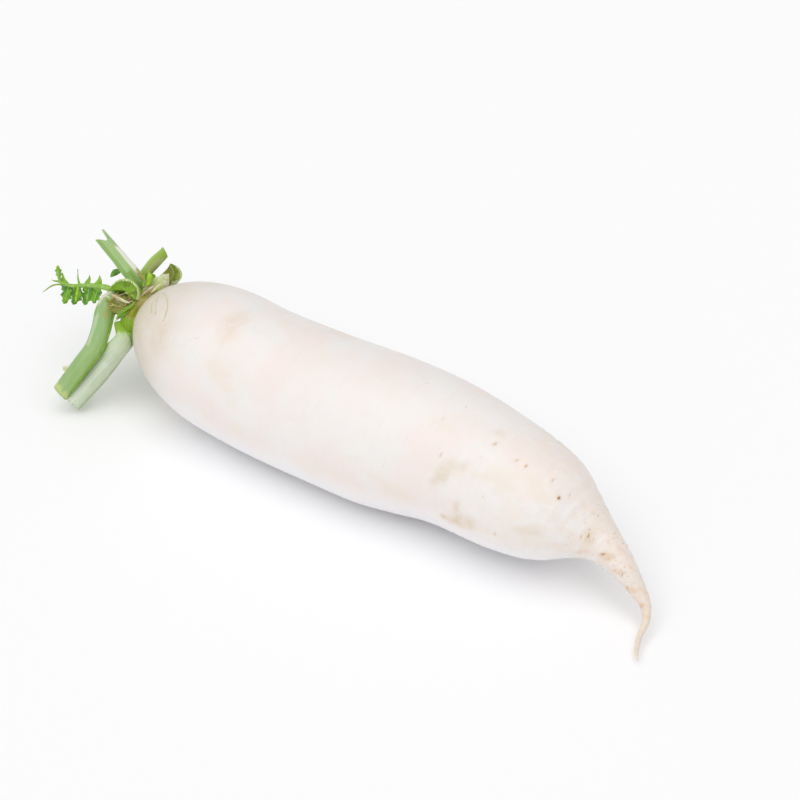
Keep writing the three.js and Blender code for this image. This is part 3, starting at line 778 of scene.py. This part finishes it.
def root_rings():
    """The root's centreline distances and rings of points, one row of angles for each distance."""
    line = Line(ROOT_LINE)
    shoulder = 0.4 + SHOULDER_LENGTH * (1 - np.cos(np.linspace(0, TURN / 4, SHOULDER_RINGS, endpoint=False)))
    body = np.arange(SHOULDER_LENGTH + 1, line.length - TIP_GAP, ROOT_STEP)
    distances = np.concatenate([shoulder, body, [line.length - TIP_GAP]])
    radii = curve_through(ROOT_RADII)(distances)
    in_shoulder = np.clip(1 - distances / SHOULDER_LENGTH, 0, 1)
    radii *= (1 - in_shoulder ** SHOULDER_POWER) ** (1 / SHOULDER_POWER)
    radii *= 1 - 0.2 * smooth(distances, 292, 325)
    radii *= np.sqrt(1 - 0.97 * smooth(distances, line.length - 7, line.length))
    angles = full_turn(ROOT_SIDES)
    rings = np.empty((len(distances), ROOT_SIDES, 3))
    outward = np.empty_like(rings)
    for i, (distance, centre, _, across, up) in enumerate(frames_along(line, distances, FACES_UP)):
        uneven = np.sin(2 * angles) + 0.6 * np.cos(3 * angles + distance / 70)
        radius = radii[i] * (1 + OVALNESS * uneven)
        outward[i] = circle(angles, 1, across, up)
        rings[i] = centre + outward[i] * radius[:, None]
    return distances, angles, radii, rings + REST, outward


def oval_spots(tree, marks):
    """Marks given by pixels, as oval spots that lie on the root's skin."""
    spots = []
    for pixel, length, width, turn, strength in marks:
        point, normal = seen_at(tree, pixel)
        along = unit(np.array([1, 0, 0]) - normal * normal[0])
        around = np.cross(normal, along)
        angle = math.radians(turn)
        first = around * math.cos(angle) + along * math.sin(angle)
        second = np.cross(normal, first)
        spots.append((point, (first, second, normal), (length / 2, width / 2, max(width, 2.0)), strength))
    return spots


def covered(places, spots):
    """How strongly any of some soft oval spots covers each place."""
    total = np.zeros(len(places))
    for middle, axes, halves, strength in spots:
        away = np.linalg.norm((places - middle) @ np.array(axes).T / halves, axis=1)
        total = np.maximum(total, strength * (1 - smooth(away, 0, 1)))
    return total


def roughened(tree, distances, angles, radii, rings, outward):
    """The root's rings with the unevenness that is too fine for its solid."""
    rng = np.random.default_rng(SEED)
    d, a = distances[:, None], angles[None, :]
    thick = np.clip(radii / 30, 0.12, 1)[:, None]
    swell = ripples(rng, 30, (30, 90), 4, 0.12)(d, a)
    creases = ripples(rng, 60, (2.2, 7), 3, 0.035)(d, a)
    tail = smooth(d, 250, 275) * ripples(rng, 60, (1.6, 5), 5, 0.22)(d, a)
    ringed = 1 + 2.2 * smooth(d, 195, 235) * smooth(-d, -278, -255)
    lift = swell * thick + creases * ringed + tail * np.clip(thick * 2, 0.3, 1)
    dents = [(pixel, 0.5 * length, -0.28 * strength) for pixel, length, _, _, strength in SCARS]
    for pixel, radius, height in RELIEF + dents:
        point, _ = seen_at(tree, pixel)
        away = np.linalg.norm(rings - point, axis=2)
        lift += height * np.exp(-((away / radius) ** 2))
    rings = rings + outward * (lift * smooth(d, 0, 3))[..., None]
    rings[..., 2] = np.maximum(rings[..., 2], 0)
    return rings


def make_root():
    """Makes the root, and returns its smooth surface, which pixels are looked up on."""
    distances, angles, radii, rings, outward = root_rings()
    count = len(rings)
    surface = BVHTree.FromPolygons(rings.reshape(-1, 3).tolist(), tube_faces(count, ROOT_SIDES))
    places = roughened(surface, distances, angles, radii, rings, outward).reshape(-1, 3)
    scars, creases, stains, tans = (oval_spots(surface, marks) for marks in (SCARS, CREASE_SHADE_MARKS, STAINS_AND_HOLLOW_SHADE, TANS))
    bruises = [(place, axes, [2.2 * half for half in halves], level) for place, axes, halves, level in scars]
    # Painted light: this mask marks the underside away from the tail, which the skin paints whiter and
    # cooler.
    belly = smooth(-outward[..., 2], 0.05, 0.6) * smooth(-distances, -275, -240)[:, None]
    build = Build("along", "belly", "stain", "tan", "bruise")
    build.add(
        places, closed_tube(count, ROOT_SIDES), along=np.repeat(distances, ROOT_SIDES), belly=belly.ravel(),
        stain=covered(places, stains), tan=covered(places, tans), bruise=covered(places, bruises),
    )
    build.finish("root_flesh", [root_skin(scars, creases)], replaces=["root"], slot="root_skin")
    return surface


# The crown and what grows on it

crown_radius = curve_through(CROWN_PROFILE)
crown_up = unit(np.array([0, 0, 1]) - CROWN_AXIS * CROWN_AXIS[2])


def grown_line(shape):
    """The line of a stalk or leaf, from its seat inside the crown, which follows from its order."""
    angle = math.radians(FIRST_ANGLE + shape["order"] * GOLDEN_ANGLE)
    height = LOWEST_LEAF + (HIGHEST_LEAF - LOWEST_LEAF) * shape["order"] / (LEAF_COUNT - 1)
    radius = max(crown_radius(height) - SEAT_DEPTH, 0)
    seat = CROWN_FOOT + CROWN_AXIS * height + crown_up * (math.cos(angle) * radius)
    seat = seat + np.array([0, math.sin(angle) * radius, 0])
    return Line(np.array([seat, *shape["line"]]) + REST)


def tone_slot(first, tone):
    """The material slot of a tone, where the tones start at the slot first."""
    return first + list(TONES).index(tone)


def add_scraps(build, scraps, first_slot):
    for tone, pixels, lifts, widths in scraps:
        ribbon(build, pixels, lifts, widths, tone_slot(first_slot, tone))


def add_mess(build, rng, first_slot):
    """Short dry fibres that lie about the crown's foot, some bent, in mixed tones."""
    start, stop = np.array(MESS_LINE, float)
    way = (stop - start) / np.linalg.norm(stop - start)
    for _ in range(MESS_COUNT):
        share = rng.uniform(0, 1)
        middle = start + (stop - start) * share + rng.uniform(-5, 8) * np.array([-way[1], way[0]])
        angle = math.atan2(way[1], way[0]) + rng.normal(0, 0.5)
        half = rng.uniform(2, 5.5) * np.array([math.cos(angle), math.sin(angle)])
        bend = rng.uniform(-1.6, 1.6) * np.array([-half[1], half[0]]) / np.linalg.norm(half)
        lift = np.interp(share, [0, 0.5, 1], MESS_LIFTS) + rng.uniform(-1.2, 0.6)
        ends = [facing(middle - half, lift - 0.6), facing(middle + half, lift - 0.6)]
        slot = tone_slot(first_slot, MESS_TONES[int(rng.integers(len(MESS_TONES)))])
        places = [ends[0], facing(middle + bend, lift), ends[1]]
        thread(build, places, rng.uniform(0.14, 0.38), slot, sides=6, taper=0.4)


def make_crown(root_surface, strands):
    rng = np.random.default_rng(SEED + 1)
    side = np.cross(crown_up, CROWN_AXIS)
    heights = np.linspace(CROWN_PROFILE[0][0], CROWN_PROFILE[-1][0], CROWN_RINGS)
    angles = full_turn(CROWN_SIDES)
    rough = ripples(rng, 50, (2.5, 9), 9, 0.35)
    rings = []
    for height in heights:
        scars = 0.35 * math.sin(height * 2.1) ** 2
        radius = crown_radius(height) + scars + rough(height, angles)
        rings.append(CROWN_FOOT + REST + CROWN_AXIS * height + circle(angles, radius, crown_up, side))
    build = Build("height")
    build.add(rings, closed_tube(CROWN_RINGS, CROWN_SIDES), height=np.repeat(heights, CROWN_SIDES))
    add_scraps(build, CROWN_SCRAPS, 1)
    add_mess(build, rng, 1)
    for pixels in FIBRES:
        seen = [seen_at(root_surface, pixel) for pixel in pixels]
        thread(build, [point + normal * 0.15 for point, normal in seen], 0.26, tone_slot(1, "fibre"), sides=8)
    materials = [crown_skin(CROWN_PATCHES), *strands.values()]
    build.finish("crown_flesh", materials, replaces=["crown"], slot="crown")


def stalk_section(width, depth, groove):
    """Points round a stalk's section, first across its outer side and then back across its groove, paired
    so that each strip of a cut end runs straight through the stalk. The third column is round."""
    angles = np.pi + np.pi * np.linspace(0, 1, SECTION_POINTS + 1)
    across = np.linspace(0, 1, SECTION_POINTS + 1)
    ribs = RIB_HEIGHT * np.cos(across * TURN * RIB_COUNT) * np.sin(np.pi * across) ** 0.5
    outer = np.stack([(width / 2 + ribs) * np.cos(angles), (depth + ribs) * np.sin(angles), across], 1)
    side = -np.cos(np.pi * across[1:-1])[::-1]
    curve = RIM - (RIM + groove) * (1 - side ** 2)
    edge = 1 - np.abs(side) ** 14
    inner = np.stack([width * 0.485 * side, curve * edge, 1 + across[1:-1]], 1)
    return np.vstack([outer, inner])


def add_stalk(name, shape, materials):
    rng = np.random.default_rng(SEED + shape["order"] * 13)
    line = grown_line(shape)
    width, depth = shape["width"], shape["depth"]
    section = stalk_section(width, depth, shape["groove"])
    u, v = section[:, 0], section[:, 1]
    sides = len(section)
    count = max(int(line.length / RING_STEP), 8)
    distances = np.linspace(0, line.length, count + 1)
    swell = ripples(rng, 14, (9, 30), 2, 0.16)
    tear = shape["torn"] * np.maximum(0, np.abs(u) / width - 0.2) * np.where(u < 0, 2, 3)
    rings = []
    for distance, centre, tangent, across, normal in frames_along(line, distances, CROWN_AXIS):
        at = distance / line.length
        size = np.interp(at, [0, 1], shape["scale"]) * (1 + 0.12 * (1 - smooth(distance, 0, 9)))
        if shape["rounding"]:
            size *= 1 - 0.4 * smooth(distance, line.length - shape["rounding"], line.length) ** 2
        turn = math.radians(np.interp(smooth(at, 0.15, 0.6), [0, 1], shape["twist"]))
        cut = (shape["slant"] * (v + depth) + tear) * smooth(at, 1 - 9 / line.length, 1)
        uneven = 1 + swell(distance, section[:, 2] * np.pi) / width * 2
        x, y = u * size * uneven, (v + depth / 2) * size * uneven
        flat_x = x * math.cos(turn) - y * math.sin(turn)
        flat_y = x * math.sin(turn) + y * math.cos(turn)
        rings.append(centre + np.outer(flat_x, across) + np.outer(flat_y, normal) + np.outer(cut, tangent))
    build = Build("round", "along", "rest", "across")
    along = np.repeat(distances, sides)
    build.add(
        rings, tube_faces(count + 1, sides),
        round=np.tile(section[:, 2], count + 1), along=along, rest=line.length - along,
    )
    peel = line.length if shape["peel"] else None
    add_cut_end(build, rings[-1], line.tangent(line.length), rng, shape["dip"], peel)
    for side, start, stop, radius in shape["cords"]:
        chosen = [i for i in range(0, count + 1, 3) if start <= distances[i] <= stop]
        edge = [rings[i][side * SECTION_POINTS] for i in chosen]
        thread(build, edge, radius, slot=3, sides=10, taper=0.7)
    for lobe in shape["lobes"]:
        add_lobe(build, line, lobe, slot=2)
    build.finish(name + "_look", materials, replaces=[name], slot=shape["slot"])


def grid_faces(rows, columns):
    faces = []
    for i in range(rows - 1):
        for j in range(columns - 1):
            a = i * columns + j
            faces.append((a, a + columns, a + columns + 1, a + 1))
    return faces


def add_cut_end(build, ring, way, rng, depth, peel=None):
    """The cut face: strips that run straight through the stalk, with strand ends standing out a little.
    peel is the stalk's length if a band of its skin shows along the outer side of the cut."""
    last = SECTION_POINTS
    outer = ring[:last + 1]
    inner = np.vstack([outer[0], ring[last + 1:][::-1], outer[last]])
    shares = np.linspace(0, 1, CUT_LAYERS + 1)
    grid = outer[:, None] * (1 - shares)[None, :, None] + inner[:, None] * shares[None, :, None]
    dip = np.sin(np.pi * shares)[None, :] * np.sin(np.pi * np.linspace(0, 1, last + 1))[:, None] ** 0.5
    frayed = rng.uniform(-0.18, 0.18, dip.shape) * (dip > 0.05)
    grid = grid + (frayed - dip * depth)[..., None] * way
    if peel is not None:
        build.add(grid[:, :2], grid_faces(last + 1, 2), slot=0, round=0.5, along=peel)
        grid = grid[:, 1:]
    build.add(grid, grid_faces(last + 1, grid.shape[1]), slot=1)


def lobe_half_width(edge, share):
    """Half the width of a lobe or tooth at a share of its length, with the fine teeth of its edge."""
    places, widths = np.array(edge).T
    teeth = 0.05 * np.abs(np.sin(share * 24)) * np.sin(np.pi * np.clip(share, 0, 1)) * (len(edge) > 4)
    return np.interp(share, places, widths) + teeth


def add_lobe(build, line, lobe, slot):
    """A toothed blade that waves a little and folds along its vein."""
    edge, at, length, width, lean, way = lobe
    tangent = line.tangent(at * line.length)
    reach = unit(np.array(way, float) + tangent * lean)
    face = unit(np.cross(tangent, reach))
    across = np.cross(face, reach)
    foot = line.at(at * line.length)
    columns = LOBE_COLUMNS + 1
    p = np.linspace(0, 1, LOBE_ROWS + 1)[:, None]
    q = np.linspace(-1, 1, columns)[None, :]
    half = lobe_half_width(edge, p) * width
    wave = 0.35 * np.sin(p * 7 + at * 40) * q ** 2 + 0.3 * np.abs(q) * width / 6 + 0.5 * p ** 2
    thick = BLADE / 2 * (1 - q ** 2) ** 0.5 * (1 - 0.5 * p) * (p < 1)
    for side in (1, -1):
        spot = foot + (p * length)[..., None] * reach + (q * half)[..., None] * across
        spot = spot + (wave + side * thick)[..., None] * face
        starts = [i * columns + j for i in range(LOBE_ROWS) for j in range(LOBE_COLUMNS)]
        faces = [(a, a + 1, a + columns + 1, a + columns)[::side] for a in starts]
        build.add(
            spot, faces, slot, across=np.abs(np.broadcast_to(q, spot.shape[:2])).ravel(),
            along=np.broadcast_to(p, spot.shape[:2]).ravel(),
        )


def make_stalks(strands):
    for name, given in STALKS.items():
        shape = {**USUAL_STALK, **given}
        skin, _, tip, _, _ = shape["colours"]
        look = stalk_skin(name + "_skin", shape["colours"], shape["touches"])
        flesh = cut_flesh(name + "_flesh", *(shape["flesh"] or [tip, skin]))
        add_stalk(name, shape, [look, flesh, strands["cream"], strands["green"]])


def make_leaves(bright, dark, strands):
    """A leaf is its rib with its lobes. The lobes that hang down take a darker copy of the green, which is
    painted shade.
    """
    ridges = 1 + 0.06 * np.cos(full_turn(RIB_SIDES) * 5)
    for name, shape in LEAVES.items():
        line = grown_line(shape)
        distances = np.linspace(0, line.length, int(line.length / RIB_STEP) + 1)
        sizes = np.interp(distances / line.length, [0, 1], shape["rib"])
        build = Build("across", "along")
        add_tube(build, line, distances, np.outer(sizes, ridges), RIB_SIDES, CROWN_AXIS, across=0.5)
        for lobe in shape["lobes"]:
            # Hanging lobes get the darker copy of the leaf material: painted shade.
            hangs = lobe[-1][2] < -0.5
            add_lobe(build, line, lobe, slot=2 if hangs else 1)
        add_scraps(build, shape["scraps"], 3)
        rib = strand(name + "_rib", "#9fc467", "#86b43c")
        build.finish(name + "_look", [rib, bright, dark, *strands.values()], replaces=[name], slot="leaf")


# The room

def add_floor():
    mesh = bpy.data.meshes.new("floor")
    reach, level = 6.0, -0.02 * MM
    corners = [(-reach, -reach, level), (reach, -reach, level), (reach, reach, level), (-reach, reach, level)]
    mesh.from_pydata(corners, [], [(0, 1, 2, 3)])
    floor = add_object("floor", mesh)
    paint = Paint("floor_paint", 0.7)
    paint.base = "#fbfbfc"
    mesh.materials.append(paint.done())


def add_panel(name, energy, angle, way):
    """A broad, even light from a direction, such as a white panel gives."""
    data = bpy.data.lights.new(name, "SUN")
    data.energy = energy
    data.angle = math.radians(angle)
    light = add_object(name, data)
    light.rotation_euler = Vector(way).to_track_quat("Z", "Y").to_euler()


def add_lights():
    world = bpy.data.worlds.new("studio")
    world.use_nodes = True
    background = world.node_tree.nodes["Background"]
    background.inputs["Color"].default_value = (1.0, 1.0, 1.0, 1.0)
    background.inputs["Strength"].default_value = 0.59
    bpy.context.scene.world = world
    add_panel("sky_panel", 1.4, 70, (0.05, -0.35, 1.0))
    add_panel("front_panel", 0.15, 60, (-0.1, -1.0, 0.1))
    bpy.context.scene.view_settings.view_transform = "Standard"


add_camera()
add_lights()
add_floor()
root_surface = make_root()
strands = {tone: strand("strand_" + tone, *pair) for tone, pair in TONES.items()}
make_crown(root_surface, strands)
bright_leaf = leaf_green("leaf_bright", "#9ccb3c", "#7fb022", "#b3d46a")
# The darker copy of the leaf green is painted shade for the hanging lobes.
shaded_leaf_green = leaf_green("leaf_painted_shade", "#7ab41e", "#458210", "#93bd40")
make_stalks(strands)
make_leaves(bright_leaf, shaded_leaf_green, strands)
